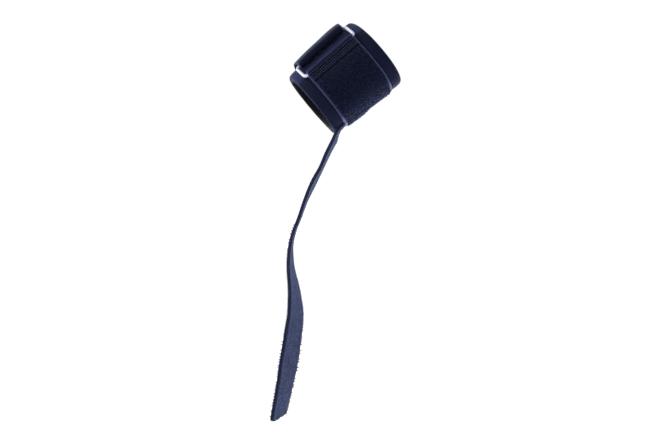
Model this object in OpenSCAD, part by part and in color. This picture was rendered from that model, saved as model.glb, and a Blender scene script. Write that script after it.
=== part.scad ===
// Wrist splint: a soft support band with a loop tape panel, a wire ring, a closing strap that folds
// back over the ring, and a long strap that hangs from the underside of the wrist.
// Origin: the middle of the wrist opening. +Z is up, and the forearm slopes up towards +X.

/* [Wrist opening] */
// Broad width of the wrist opening
wrist_w = 66; // [60:1:72]
// Thickness of the wrist opening
wrist_t = 50; // [48:1:54]
// Radius of the opening's two narrow sides
side_r = 17; // [16:0.5:19]
// Growth of the radius towards the elbow, per mm of length
taper = 0.045; // [0.02:0.005:0.06]
// Slope of the forearm above level, in degrees
arm_tilt = 39; // [20:1:50]
// Turn of the forearm about its own length, in degrees
arm_roll = 41; // [30:1:50]

/* [Support band] */
// Width of the band along the forearm
band_w = 71; // [66:1:80]
// Thickness of the knitted lining next to the skin
lining_t = 0.8; // [0.6:0.1:1]
// Thickness of the foam core
foam_t = 2.4; // [2:0.1:3]
// Thickness of the outer jersey
jersey_t = 0.8; // [0.6:0.1:1]
// Angle round the wrist where the band's two ends nearly meet
band_gap_at = 292; // [286:1:298]
// Gap between the band's two ends, in degrees
band_gap = 9; // [6:1:12]

/* [Tapes] */
// Width of the loop tape, used for the panel and the closing strap
tape_w = 50; // [46:1:50]
// Thickness of the tape's woven ground
tape_t = 1.2; // [1:0.1:1.4]
// Height of the loop pile
pile_t = 1; // [0.8:0.1:1.2]
// Width of the bare selvedge along each edge of the tape
selvedge_w = 3; // [2:0.5:4]
// Angle round the wrist where the panel ends
panel_end = 236; // [220:1:240]
// Angle round the wrist where the closing strap is sewn down
strap_start = 251; // [248:1:254]
// Angle round the wrist where the folded-back flap ends
flap_end = 263; // [260:1:266]
// Air between the closing strap's pile and the flap
flap_lift = 1.4; // [1.3:0.1:1.8]
// Thickness of a hook patch
hook_t = 1.1; // [0.9:0.1:1.2]

/* [Wire ring] */
// Wire diameter
wire_d = 2.6; // [2.4:0.1:3]
// Free length inside the ring
ring_l = 51; // [51:0.5:54]
// Free gap inside the ring
ring_gap = 15.4; // [14:0.2:18]
// Radius of the ring's corners, on the wire's centreline
ring_corner = 3.6; // [3.2:0.1:4]
// Place of the ring's near leg, to the thumb side of the back's middle
near_leg_at = 5; // [4:0.5:9]

/* [Hanging strap] */
// Width of the hanging strap
strap_w = 25; // [20:1:25]
// Thickness of its webbing
web_t = 1.6; // [1.4:0.1:1.8]
// Length of the root sewn under the panel
root_l = 27; // [20:1:30]
// Thickness of the root, pressed flat by its seam
root_t = 1.4; // [1:0.1:1.6]
// Length of the hook tab at the free end
tab_l = 57; // [40:1:60]
// Steps between two places of its route
route_steps = 3; // [1:1:4]

/* [Hidden] */
$fn = 64;
half_w = wrist_w / 2;
half_t = wrist_t / 2;
side_c = half_w - side_r;
big_r = (side_c * side_c + half_t * half_t - side_r * side_r) / (2 * (half_t - side_r));
corner = atan2(side_c, big_r - half_t);
slope = atan(taper);
reach = 100;
band_t = lining_t + foam_t + jersey_t;
band_x = band_w / 2;
tape_x = tape_w / 2;
pile_x = tape_x - selvedge_w;
tape_top = band_t + tape_t;
pile_top = tape_top + pile_t;

// Ring: the near leg lies in the panel's fold, the far leg in the closing strap's fold
wire_r = wire_d / 2;
wire_room = 0.2;
leg_r = wire_r + wire_room;
layer_gap = 0.1;
ring_w = ring_gap + wire_d;
leg_x = (ring_l + wire_d) / 2;
fold_x = leg_x - ring_corner;
near_y = -near_leg_at;
near_z = back_z(near_y, band_t) + leg_r + tape_t + layer_gap;
far_z = back_z(near_y + ring_w, pile_top) + wire_room + wire_r;
ring_rise = asin((far_z - near_z) / ring_w);
far_y = near_y + ring_w * cos(ring_rise);

// Panel fold: two layers of tape, sewn by four rows
fold_l = 10.5;
fold_rows = 4;
row_inset_a = 0.6;
fold_neck = 4.6;
seam_from = 4.2;
seam_a0 = back_angle(near_y - seam_from);
seam_a1 = back_angle(near_y - fold_l + leg_r + tape_t);
stitch_l = 2.2;
stitch_pitch = 3.1;
stitch_half_a = 0.35;
thread = 0.5;
thread_up = 0.3;

// Closing strap and its folded-back flap
flap_backing = 0.8;
flap_t = tape_t + flap_backing;
flap_h = pile_top + flap_lift;
flap_c = back_to_section([flap_centre().x, flap_centre().y]);
flap_r = flap_radius();
flap_a0 = 360 - corner;
flap_a1 = 360 - atan2(far_y - flap_centre().x, far_z - flap_centre().y);
round_a0 = flap_a1 - 270;
round_a1 = 178;
side_steps = 20;
back_steps = 14;
thin_steps = 7;
round_steps = 10;
bight_t = 0.8;
bight_gap = 0.3;
patch_a0 = flap_end + 1.5;
patch_a1 = flap_end + 30;
anchor_a1 = strap_start + 10;

// Hanging strap: the root's place under the panel, and the free route below it
root_at = 134;
root_a0 = root_at - 31;
root_a1 = root_at + 17;
root_x0 = -tape_x - 2;
root_h = band_t - root_t;
pocket_wall = 0.8;
pocket_wall_a = 2;
tack_x = -tape_x + 6;
exit_drop = 0.9;
exit_h = band_t + web_t / 2 + exit_drop;
exit_x = root_x0 - 0.6;
strap_exit = to_world(surface_point(root_at, exit_h, exit_x));
// Each place of the route: sideways, up, and the turn of the strap's face towards the front
route = [
    [0, 0, 10], [-5, -6.5, 12], [-12, -19, 10], [-18.5, -33, 9], [-25.5, -47, 11],
    [-32, -61, 8], [-37, -75, 6], [-42.5, -89, 6], [-45, -101, 7], [-45.5, -113, 10],
    [-44.5, -125, 14], [-42.5, -137, 20], [-41.5, -149, 27], [-41, -160, 33], [-42, -171, 38],
    [-44, -185, 40], [-46.5, -202, 42], [-49.5, -219, 38], [-53, -236, 35], [-55, -245, 33],
    [-56, -251.5, 32]
];
last = len(route) - 1;
function length_from(i) = i < last ? norm(place(i + 1) - place(i)) + length_from(i + 1) : 0;
tab_from = [for (i = [0:last]) if (length_from(i) <= tab_l) i][0];

navy = "#23283f";
navy_dark = "#151c30";
navy_light = "#3d4566";
black = "#14151c";

// ---- Places round the wrist -------------------------------------------------------------------
// The section frame has its Z along the forearm towards the elbow, X out of the back of the wrist
// and Y out of the thumb side. Angles are counted from X towards Y. The wrist is an oval of four
// arcs, and every layer is the same oval moved out by its height h above the skin.

// Height of the surface h above the back of the wrist, y mm to the side of its middle
function back_z(y, h) = sqrt((big_r + h) * (big_r + h) - y * y) - big_r;
// Angle round the wrist of a place y mm to the side of the back's middle, on the band
function back_angle(y) = asin(-y / (big_r + band_t));
// A place in the back's frame, in the section frame: across the wrist only, and in full
function back_to_section(p) = [half_t + p.y, -p.x];
function from_back(p) =
    let (q = turn_y(p, -slope))
    turn_y([q.x, -q.y, -q.z], -90) + [half_t, 0, 0];

function arc_centre(i) = [
    [half_t - big_r, 0], [0, side_c], [big_r - half_t, 0], [0, -side_c]
][i];
function arc_radius(i) = i % 2 == 0 ? big_r : side_r;
function arc_start(i) = [-corner, corner, 180 - corner, 180 + corner][i];
function arc_end(i) = [corner, 180 - corner, 180 + corner, 360 - corner][i];
function arc_at(a) =
    let (b = a - 360 * floor((a + corner) / 360))
    [for (i = [0:3]) if (b >= arc_start(i) && b < arc_end(i)) i][0];
function surface_point(a, h, x) =
    let (i = arc_at(a), r = arc_radius(i) + h + taper * x)
    [arc_centre(i).x + r * cos(a), arc_centre(i).y + r * sin(a), x];

function turn_z(p, a) = [p.x * cos(a) - p.y * sin(a), p.x * sin(a) + p.y * cos(a), p.z];
function turn_y(p, a) = [p.x * cos(a) + p.z * sin(a), p.y, p.z * cos(a) - p.x * sin(a)];
function to_world(p) = turn_y(turn_z(p, 180 + arm_roll), 90 - arm_tilt);

module on_arm() {
    rotate([0, 90 - arm_tilt, 0]) rotate([0, 0, 180 + arm_roll]) children();
}

// The back's frame: X along the forearm towards the elbow, Y towards the little finger, Z out
module on_back() {
    on_arm() translate([half_t, 0, 0]) rotate([0, -90, 0]) rotate([180, 0, 0])
        rotate([0, -slope, 0]) children();
}

function toward(a) = [cos(a), sin(a)];
function smooth(t) = let (u = min(1, max(0, t))) u * u * (3 - 2 * u);

// A closed strip through stations of four corners each. Opposite sides are split along the same
// diagonal, so that a twisted strip keeps its thickness and layers of it fit on one another.
module strip(stations) {
    n = len(stations) - 1;
    sides = [
        for (i = [0:n - 1], k = [0:3])
            let (a = 4 * i + k, b = 4 * i + (k + 1) % 4)
            each k < 2 ? [[a, b, b + 4], [a, b + 4, a + 4]] : [[a, b, a + 4], [b, b + 4, a + 4]]
    ];
    ends = [[2, 1, 0], [3, 2, 0], [4 * n, 4 * n + 1, 4 * n + 2], [4 * n, 4 * n + 2, 4 * n + 3]];
    polyhedron([for (s = stations, p = s) p], concat(sides, ends));
}

// The section of a layer on one arc: h0 to h1 above it, x0 to x1 along the forearm
module layer_section(r, h0, h1, x0, x1) {
    polygon([
        [r + h0 + taper * x0, x0], [r + h1 + taper * x0, x0],
        [r + h1 + taper * x1, x1], [r + h0 + taper * x1, x1]
    ]);
}

// A strip bent to one arc, from angle a0 to a1
module bend(centre, r, a0, a1, h0, h1, x0, x1) {
    translate([centre.x, centre.y, 0]) rotate([0, 0, a0]) rotate_extrude(angle = a1 - a0)
        layer_section(r, h0, h1, x0, x1);
}

// The layer all the way round the oval, as four arcs cut to the lines through their centres
module oval_ring(h0, h1, x0, x1) {
    for (i = [0:3]) {
        c = arc_centre(i);
        middle = (arc_start(i) + arc_end(i)) / 2;
        intersection() {
            translate([c.x, c.y, 0]) rotate_extrude() layer_section(arc_radius(i), h0, h1, x0, x1);
            translate([0, 0, -reach]) linear_extrude(height = 2 * reach) polygon([
                c, c + reach * toward(arc_start(i)),
                c + 2 * reach * toward(middle), c + reach * toward(arc_end(i))
            ]);
        }
    }
}

// The part of that layer between two angles round the wrist
module wrap(a0, a1, h0, h1, x0, x1) {
    steps = ceil((a1 - a0) / 30);
    angles = [for (k = [0:steps]) a0 + (a1 - a0) * k / steps];
    intersection() {
        oval_ring(h0, h1, x0, x1);
        translate([0, 0, -reach]) linear_extrude(height = 2 * reach) polygon([
            arc_centre(arc_at(a0)),
            for (a = angles) arc_centre(arc_at(a)) + reach * toward(a),
            arc_centre(arc_at(a1))
        ]);
    }
}

// ---- Support band: lining, foam and jersey in one laminate, open at one place -----------------
band_a0 = band_gap_at + band_gap / 2 - 360;
band_a1 = band_gap_at - band_gap / 2;

// The foam and the jersey are pressed in under the sewn root of the hanging strap
module root_pocket(grow_a, grow_x, h0) {
    wrap(root_a0 - grow_a, root_a1 + grow_a, h0, band_t, root_x0 - grow_x, root_x0 + root_l + grow_x);
}

module inner_lining() {
    color(black) on_arm() wrap(band_a0, band_a1, 0, lining_t, -band_x, band_x);
}

module foam_core() {
    color(navy_dark) on_arm() difference() {
        wrap(band_a0, band_a1, lining_t, lining_t + foam_t, -band_x, band_x);
        root_pocket(pocket_wall_a, pocket_wall, root_h - jersey_t);
    }
}

module outer_jersey() {
    color(navy) on_arm() difference() {
        union() {
            wrap(band_a0, band_a1, lining_t + foam_t, band_t, -band_x, band_x);
            root_pocket(pocket_wall_a, pocket_wall, root_h - jersey_t);
        }
        root_pocket(0, 0, root_h);
    }
}

// ---- Loop tape panel, folded round the ring's near leg ----------------------------------------
module fold_section() {
    difference() {
        union() {
            translate([near_y, near_z]) circle(r = leg_r + tape_t);
            polygon([
                [near_y, near_z + leg_r + tape_t],
                [near_y, near_z - leg_r - tape_t],
                [near_y - fold_neck, back_z(near_y - fold_neck, band_t + layer_gap)],
                [near_y - fold_neck, back_z(near_y - fold_neck, tape_top + tape_t - layer_gap)]
            ]);
        }
        translate([near_y, near_z]) circle(r = leg_r);
    }
}

module panel_tape() {
    color(navy_light) {
        on_back() rotate([90, 0, 90]) linear_extrude(height = 2 * fold_x, center = true)
            fold_section();
        on_arm() wrap(seam_a0, seam_a1, band_t, tape_top + tape_t, -tape_x, tape_x);
        on_arm() wrap(seam_a1 - 0.5, panel_end, band_t, tape_top, -tape_x, tape_x);
    }
}

module panel_pile() {
    color(navy_dark) on_arm() wrap(seam_a1 + 0.5, panel_end - 2, tape_top, pile_top, -pile_x, pile_x);
}

// One stitch of thread, on a layer whose top is h above the skin
module stitch(a0, a1, h, x0, x1) {
    i = arc_at((a0 + a1) / 2);
    on_arm() bend(arc_centre(i), arc_radius(i), a0, a1, h, h + thread_up, x0, x1);
}

// A straight row of stitches along the forearm
module stitch_row_along(a, h, half_len) {
    steps = floor(half_len / stitch_pitch);
    for (k = [-steps:steps])
        stitch(a - stitch_half_a, a + stitch_half_a, h,
            k * stitch_pitch - stitch_l / 2, k * stitch_pitch + stitch_l / 2);
}

// A row of stitches round the wrist, at x along the forearm
module stitch_row_round(a0, a1, step, h, x) {
    for (a = [a0:step:a1]) stitch(a, a + step * 0.65, h, x - thread / 2, x + thread / 2);
}

module panel_side_stitches() {
    color(navy_light) for (side = [-1, 1])
        stitch_row_round(seam_a1 + 3, panel_end - 6, 6, tape_top, side * (tape_x - selvedge_w / 2));
}

module ring_fold_stitches() {
    pitch = (seam_a1 - seam_a0 - 2 * row_inset_a) / (fold_rows - 1);
    color(navy_light) for (k = [0:fold_rows - 1])
        stitch_row_along(seam_a0 + row_inset_a + k * pitch, tape_top + tape_t, tape_x - 2);
}

// ---- Wire ring ------------------------------------------------------------------------------
module wire_ring() {
    color("white") on_back() translate([0, near_y, near_z]) rotate([ring_rise, 0, 0]) {
        for (y = [0, ring_w])
            translate([0, y, 0]) rotate([0, 90, 0]) cylinder(h = 2 * fold_x, r = wire_r, center = true);
        for (side = [-1, 1]) {
            translate([side * leg_x, ring_w / 2, 0]) rotate([90, 0, 0])
                cylinder(h = ring_w - 2 * ring_corner, r = wire_r, center = true);
            for (end = [-1, 1])
                translate([side * fold_x, ring_w / 2 + end * (ring_w / 2 - ring_corner), 0])
                    rotate([0, 0, side * end > 0 ? (side > 0 ? 0 : 180) : (side > 0 ? -90 : 90)])
                        rotate_extrude(angle = 90) translate([ring_corner, 0]) circle(r = wire_r);
        }
    }
}

// ---- Closing strap ----------------------------------------------------------------------------
// It is sewn down on the little finger side, runs over the gap in the band and under the ring's far
// leg, and folds back over that leg as the flap.
under_leg = 1.2;
far_edge_a = 360 + back_angle(far_y - under_leg);

module closing_strap() {
    color(navy_light) on_arm() wrap(strap_start, far_edge_a, band_t, tape_top, -tape_x, tape_x);
}

module closing_strap_pile() {
    color(navy_dark) on_arm() wrap(anchor_a1 + 1, far_edge_a - 1, tape_top, pile_top, -pile_x, pile_x);
}

module strap_anchor_stitches() {
    color(navy_light) {
        for (a = [strap_start + 2, anchor_a1 - 1]) stitch_row_along(a, tape_top, tape_x - 2);
        for (side = [-1, 1])
            stitch_row_round(strap_start + 2.6, anchor_a1 - 3, 3.2, tape_top, side * (tape_x - 2.5));
    }
}

// A sleeve round the far leg, from angle a0 to a1 in the plane across the leg
module leg_sleeve(r0, r1, a0, a1) {
    translate([0, far_y, far_z]) rotate([90, 0, 90]) rotate([0, 0, a0])
        translate([0, 0, -fold_x]) rotate_extrude(angle = a1 - a0)
            translate([r0, 0]) square([r1 - r0, 2 * fold_x]);
}

module strap_bight() {
    color(navy_light) on_back() leg_sleeve(leg_r, leg_r + bight_t, 75, 212);
}

// The flap's arc: it leaves the sleeve round the far leg and meets the side arc at the corner
function flap_corner() = [side_c, -half_t] + (side_r + flap_h) * [sin(corner), cos(corner)];
function flap_radius() =
    let (d = [far_y, far_z] - flap_corner(), n = [sin(corner), cos(corner)])
    (d * d - leg_r * leg_r) / (-2 * (n * d + leg_r));
function flap_centre() = flap_corner() - flap_radius() * [sin(corner), cos(corner)];

// The flap is one strip in three stretches: round the side, over the back and round the far leg,
// where it thins so that it clears the bight. Its station i has four corners.
function flap_share(i, from, steps) = min(1, max(0, (i - from) / steps));
function flap_corner_point(i, h, x) =
    i <= side_steps ?
        surface_point(flap_end + (flap_a0 - flap_end) * i / side_steps, flap_h + h, x) :
    i <= side_steps + back_steps ?
        let (a = flap_a0 + (flap_a1 - flap_a0) * (i - side_steps) / back_steps)
        let (r = flap_r + h + taper * x)
        [flap_c.x + r * cos(a), flap_c.y + r * sin(a), x] :
        let (a = round_a0 + (round_a1 - round_a0) * (i - side_steps - back_steps) / round_steps)
        from_back([x, far_y + (leg_r + h) * cos(a), far_z + (leg_r + h) * sin(a)]);
function flap_station(i) =
    let (near = flap_share(i, side_steps + back_steps - thin_steps, thin_steps))
    let (h = near * (bight_t + bight_gap), half_len = tape_x - smooth(near) * (tape_x - fold_x))
    [for (c = [[-1, h], [1, h], [1, flap_t], [-1, flap_t]]) flap_corner_point(i, c[1], c[0] * half_len)];

module closing_flap() {
    color(navy) on_arm() strip([for (i = [0:side_steps + back_steps + round_steps]) flap_station(i)]);
}

module flap_hook_patch() {
    color(black) on_arm() wrap(patch_a0, patch_a1, flap_h - hook_t, flap_h, -pile_x, pile_x);
}

module flap_patch_stitches() {
    color(navy_light) {
        for (a = [patch_a0 + 1, patch_a1 - 1]) stitch_row_along(a, flap_h + flap_t, pile_x);
        for (side = [-1, 1])
            stitch_row_round(patch_a0 + 2.4, patch_a1 - 4, 3.6, flap_h + flap_t, side * (pile_x - 1));
    }
}

// ---- Hanging strap ------------------------------------------------------------------------------
module strap_root() {
    color(navy_light) on_arm()
        wrap(root_a0, root_a1, root_h, band_t - thread_up, root_x0, root_x0 + root_l);
}

module root_bar_tack() {
    color(navy_light) for (x = [tack_x, tack_x + 6])
        stitch_row_round(root_a0 + 2, root_a1 - 4, 3.4, band_t - thread_up, x);
}

function unit(v) = v / norm(v);
// A smooth curve through the route's places; u counts them
function route_at(u) =
    let (i = min(floor(u), last - 1), t = u - i)
    let (a = route[max(i - 1, 0)], b = route[i], c = route[i + 1], d = route[min(i + 2, last)])
    b + t * (c - a + t * (2 * a - 5 * b + 4 * c - d + t * (3 * b - a - 3 * c + d))) / 2;
function place(u) = strap_exit + [route_at(u).x, 0, route_at(u).y];
function along(u) = unit(place(min(u + 0.1, last)) - place(max(u - 0.1, 0)));
function turn(u) = route_at(u).z;
function face(u) = let (n = cross(along(u), [0, 1, 0])) cos(turn(u)) * n - sin(turn(u)) * [0, 1, 0];
function across(u) = let (n = cross(along(u), [0, 1, 0])) cos(turn(u)) * [0, 1, 0] + sin(turn(u)) * n;

// A strip of width w along the route from place i0 to i1, from d0 to d1 out of the strap's face
module ribbon(i0, i1, w, d0, d1) {
    strip([
        for (k = [0:(i1 - i0) * route_steps])
            let (u = i0 + k / route_steps)
            [
                for (c = [[-1, d0], [1, d0], [1, d1], [-1, d1]])
                    place(u) + c.x * w / 2 * across(u) + c.y * face(u)
            ]
    ]);
}

// The strap's own frame at a place: X across it, Y out of its face and Z along it
module on_strap(u) {
    a = across(u);
    f = face(u);
    l = along(u);
    p = place(u);
    multmatrix([[a.x, f.x, l.x, p.x], [a.y, f.y, l.y, p.y], [a.z, f.z, l.z, p.z], [0, 0, 0, 1]])
        children();
}

module hanging_strap() {
    color(navy_light) ribbon(0, last, strap_w, -web_t / 2, web_t / 2);
}

// The pile's and the tab's strips are narrower than the webbing's, so their facets lie a little
// differently, and a small gap keeps them clear of it
ply_gap = 0.2;
module hanging_strap_pile() {
    color(navy_light) ribbon(1, last, strap_w - 2, web_t / 2 + ply_gap, web_t / 2 + ply_gap + pile_t);
}

module strap_hook_tab() {
    color(black)
        ribbon(tab_from, last, strap_w - 1, -web_t / 2 - ply_gap - hook_t, -web_t / 2 - ply_gap);
}

// One row of thread across the strap near each end of the tab, on the tab's own face
tab_row_in = 3;
module strap_tab_stitches() {
    out = web_t / 2 + hook_t + 2 * ply_gap + thread_up;
    color(navy_light) for (u = [tab_from, last - 1], k = [-3:3])
        on_strap(u) translate([k * stitch_pitch, -out, tab_row_in])
            cube([stitch_l, 2 * thread_up, thread], center = true);
}

inner_lining();
foam_core();
outer_jersey();
panel_tape();
panel_pile();
panel_side_stitches();
ring_fold_stitches();
closing_strap();
closing_strap_pile();
strap_anchor_stitches();
strap_root();
root_bar_tack();
wire_ring();
strap_bight();
closing_flap();
flap_hook_patch();
flap_patch_stitches();
hanging_strap();
hanging_strap_pile();
strap_hook_tab();
strap_tab_stitches();
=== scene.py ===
import math

import bpy
import numpy as np
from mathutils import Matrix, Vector


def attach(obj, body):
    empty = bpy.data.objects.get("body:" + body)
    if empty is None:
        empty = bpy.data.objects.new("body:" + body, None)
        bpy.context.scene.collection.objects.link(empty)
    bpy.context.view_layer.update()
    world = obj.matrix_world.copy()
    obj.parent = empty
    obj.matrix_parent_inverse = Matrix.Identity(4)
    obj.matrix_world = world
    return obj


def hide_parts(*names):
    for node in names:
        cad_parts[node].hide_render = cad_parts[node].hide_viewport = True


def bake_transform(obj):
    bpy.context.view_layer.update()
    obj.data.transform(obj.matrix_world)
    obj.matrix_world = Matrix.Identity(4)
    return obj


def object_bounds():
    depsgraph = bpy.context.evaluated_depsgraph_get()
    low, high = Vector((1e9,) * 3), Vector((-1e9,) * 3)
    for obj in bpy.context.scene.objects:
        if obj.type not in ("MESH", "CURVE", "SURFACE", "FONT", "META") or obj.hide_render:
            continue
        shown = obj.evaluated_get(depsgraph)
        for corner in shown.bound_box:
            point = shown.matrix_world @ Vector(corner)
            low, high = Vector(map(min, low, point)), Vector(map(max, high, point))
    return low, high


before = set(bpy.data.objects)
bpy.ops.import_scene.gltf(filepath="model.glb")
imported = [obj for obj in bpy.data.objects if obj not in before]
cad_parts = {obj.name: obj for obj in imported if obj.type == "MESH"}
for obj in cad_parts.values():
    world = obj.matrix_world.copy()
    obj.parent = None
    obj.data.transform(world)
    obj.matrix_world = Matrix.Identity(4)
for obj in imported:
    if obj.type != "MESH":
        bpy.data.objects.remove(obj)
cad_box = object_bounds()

MM = 0.001

# ---- Camera, floor and light ----
cam = bpy.data.objects.new("camera", bpy.data.cameras.new("camera"))
bpy.context.scene.collection.objects.link(cam)
cam.location = (-0.0591, -0.6115, -0.0718)
cam.rotation_mode = "QUATERNION"
cam.rotation_quaternion = Vector((0.0709, 0.9945, -0.0775)).to_track_quat("-Z", "Y")
cam.data.lens = 38.97
cam.data.sensor_width = 36
cam.data.clip_start, cam.data.clip_end = 0.01, 60
bpy.context.scene.camera = cam
bpy.context.scene.view_settings.view_transform = "Standard"

# The room is white all round, brighter behind the object than in front of it
world = bpy.data.worlds.new("studio")
bpy.context.scene.world = world
world.use_nodes = True
wt = world.node_tree
room = wt.nodes["Background"]
wall = wt.nodes.new("ShaderNodeBackground")
wall.inputs["Color"].default_value = (1, 1, 1, 1)
direction = wt.nodes.new("ShaderNodeTexCoord")
split = wt.nodes.new("ShaderNodeSeparateXYZ")
depth = wt.nodes.new("ShaderNodeMapRange")
for name, value in (("From Min", -0.6), ("From Max", 0.7), ("To Min", 0.28), ("To Max", 1.15)):
    depth.inputs[name].default_value = value
rays = wt.nodes.new("ShaderNodeLightPath")
either = wt.nodes.new("ShaderNodeMixShader")
room.inputs["Color"].default_value = (0.96, 0.97, 1, 1)
for giver, taker in (
    (direction.outputs["Generated"], split.inputs[0]),
    (split.outputs["Y"], depth.inputs["Value"]),
    (depth.outputs["Result"], room.inputs["Strength"]),
    (rays.outputs["Is Camera Ray"], either.inputs[0]),
    (room.outputs[0], either.inputs[1]),
    (wall.outputs[0], either.inputs[2]),
    (either.outputs[0], wt.nodes["World Output"].inputs["Surface"]),
):
    wt.links.new(giver, taker)


def area(name, at, target, size, power):
    lamp = bpy.data.lights.new(name, "AREA")
    lamp.energy, lamp.size = power, size
    o = bpy.data.objects.new(name, lamp)
    bpy.context.scene.collection.objects.link(o)
    o.location = at
    o.rotation_mode = "QUATERNION"
    o.rotation_quaternion = (Vector(target) - Vector(at)).to_track_quat("-Z", "Y")
    o.visible_camera = False


area("left", (-1.1, 0.35, 0.5), (0, 0, -0.05), 0.9, 11)
area("right", (1.1, 0.5, -0.1), (0, 0, -0.08), 0.9, 8)
area("top", (-0.2, -0.5, 1.4), (0, 0, 0), 0.8, 5)

# ---- The wrist's oval, in millimetres ----
# Its section frame has Z along the forearm towards the elbow, X out of the back of the wrist and
# Y out of the thumb side. Angles are counted from X towards Y.
TILT, ROLL, TAPER = 39, 41, 0.045
HALF_W, HALF_T, SIDE_R = 33, 25, 17
SIDE_C = HALF_W - SIDE_R
BIG_R = (SIDE_C**2 + HALF_T**2 - SIDE_R**2) / (2 * (HALF_T - SIDE_R))
CORNER = math.degrees(math.atan2(SIDE_C, BIG_R - HALF_T))
SLOPE = math.degrees(math.atan(TAPER))
CENTRES = np.array([(HALF_T - BIG_R, 0), (0, SIDE_C), (BIG_R - HALF_T, 0), (0, -SIDE_C)], float)
RADII = np.array([BIG_R, SIDE_R, BIG_R, SIDE_R], float)

BAND_T, TAPE_T, PILE_T = 4.0, 1.2, 1.0
BAND_X, TAPE_X, PILE_X = 35.5, 25.0, 22.0
WIRE_R, LEG_R, RING_W, RING_CORNER = 1.3, 1.5, 18.0, 3.6
LEG_X = (51 + 2 * WIRE_R) / 2


def toward(a):
    a = np.radians(np.asarray(a, float))
    return np.stack([np.cos(a), np.sin(a)], -1)


def arc_of(a):
    b = (np.asarray(a, float) + CORNER) % 360 - CORNER
    return np.searchsorted([CORNER, 180 - CORNER, 180 + CORNER], b, side="right")


def oval(a, h):
    i = arc_of(a)
    return CENTRES[i] + (RADII[i] + h)[..., None] * toward(a)


def turn(p, axis, degrees):
    c, s = math.cos(math.radians(degrees)), math.sin(math.radians(degrees))
    x, y, z = p[..., 0], p[..., 1], p[..., 2]
    if axis == "X":
        return np.stack([x, y * c - z * s, y * s + z * c], -1)
    if axis == "Y":
        return np.stack([x * c + z * s, y, z * c - x * s], -1)
    return np.stack([x * c - y * s, x * s + y * c, z], -1)


def to_world(p):
    return turn(turn(p, "Z", 180 + ROLL), "Y", 90 - TILT)


def from_back(p):
    """The back's frame has X towards the elbow, Y towards the little finger and Z out."""
    q = turn(turn(turn(np.asarray(p, float), "Y", -SLOPE), "X", 180), "Y", -90)
    return to_world(q + np.array([HALF_T, 0, 0]))


def back_z(y, h):
    return math.sqrt((BIG_R + h) ** 2 - y * y) - BIG_R


def back_angle(y):
    return math.degrees(math.asin(-y / (BIG_R + BAND_T)))


NEAR_Y = -5.0
NEAR_Z = back_z(NEAR_Y, BAND_T) + LEG_R + TAPE_T + 0.1
FAR_Z = back_z(NEAR_Y + RING_W, BAND_T + TAPE_T + PILE_T) + 0.2 + WIRE_R
RING_RISE = math.degrees(math.asin((FAR_Z - NEAR_Z) / RING_W))
FAR_Y = NEAR_Y + RING_W * math.cos(math.radians(RING_RISE))


def smooth(t):
    t = np.clip(t, 0, 1)
    return t * t * (3 - 2 * t)


def bell(x, width):
    """1 at x = 0, falling off smoothly over the width."""
    return np.exp(-((x / width) ** 2))


def waves(s, length):
    return np.sin(s * 2 * np.pi / length)


def unit(x):
    return x / np.linalg.norm(x, axis=1)[:, None]


def run_of(points):
    """How far along the line each point lies."""
    return np.r_[0, np.cumsum(np.linalg.norm(np.diff(points, axis=0), axis=1))]


def ripple(x, y, seed, octaves=3):
    """Smooth noise of about -1 to 1 on arrays of places, the same on every run."""
    r = np.random.default_rng(seed)
    total, weight = 0, 0
    for k in range(octaves):
        for _ in range(5):
            a, p, q = r.uniform(0, 2 * math.pi), r.uniform(0, 2 * math.pi), r.uniform(0.6, 1.4) * 2**k
            w = 0.6**k
            total = total + w * np.sin(q * (x * math.cos(a) + y * math.sin(a)) * 2 * math.pi + p)
            weight += w * w
    return total / math.sqrt(weight * 2)


# ---- Paths across the wrist's section ----
SCAN = np.arange(-60, 300, 0.25)
SCAN_POINTS = oval(SCAN, np.full(len(SCAN), 5.0))


class Path:
    """A line in the section plane: points p, normals n and the way out from the wrist's middle r."""

    def __init__(self, points, step, out):
        points = np.asarray(points, float)
        keep = np.r_[True, np.linalg.norm(np.diff(points, axis=0), axis=1) > 1e-6]
        points = points[keep]
        run = run_of(points)
        count = max(3, int(round(run[-1] / step)) + 1)
        self.s = np.linspace(0, run[-1], count)
        self.p = np.stack([np.interp(self.s, run, points[:, k]) for k in (0, 1)], -1)
        t = unit(np.gradient(self.p, self.s, axis=0))
        self.n = np.stack([t[:, 1], -t[:, 0]], -1) * out
        d = ((self.p[:, None] - SCAN_POINTS[None]) ** 2).sum(-1)
        self.a = SCAN[d.argmin(1)]
        self.r = toward(self.a)
        self.length = float(self.s[-1])

    def place(self, i, v, h):
        p = self.p[i] + self.n[i] * h[:, None] + self.r[i] * (TAPER * v)[:, None]
        return to_world(np.concatenate([p, v[:, None]], -1))


def face_out(path, i):
    """Turns the path's normals over if they point into the wrist at place i."""
    if path.n[i] @ path.r[i] < 0:
        path.n *= -1


def nearest(path, s):
    """The number of the place at length s on an evenly stepped path."""
    last = len(path.s) - 1
    return np.clip(np.round(s / path.length * last).astype(int), 0, last)


def smoothed(points, passes):
    p = np.array(points, float)
    for _ in range(passes):
        p[1:-1] = p[1:-1] * 0.5 + (p[:-2] + p[2:]) * 0.25
    return p


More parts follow.
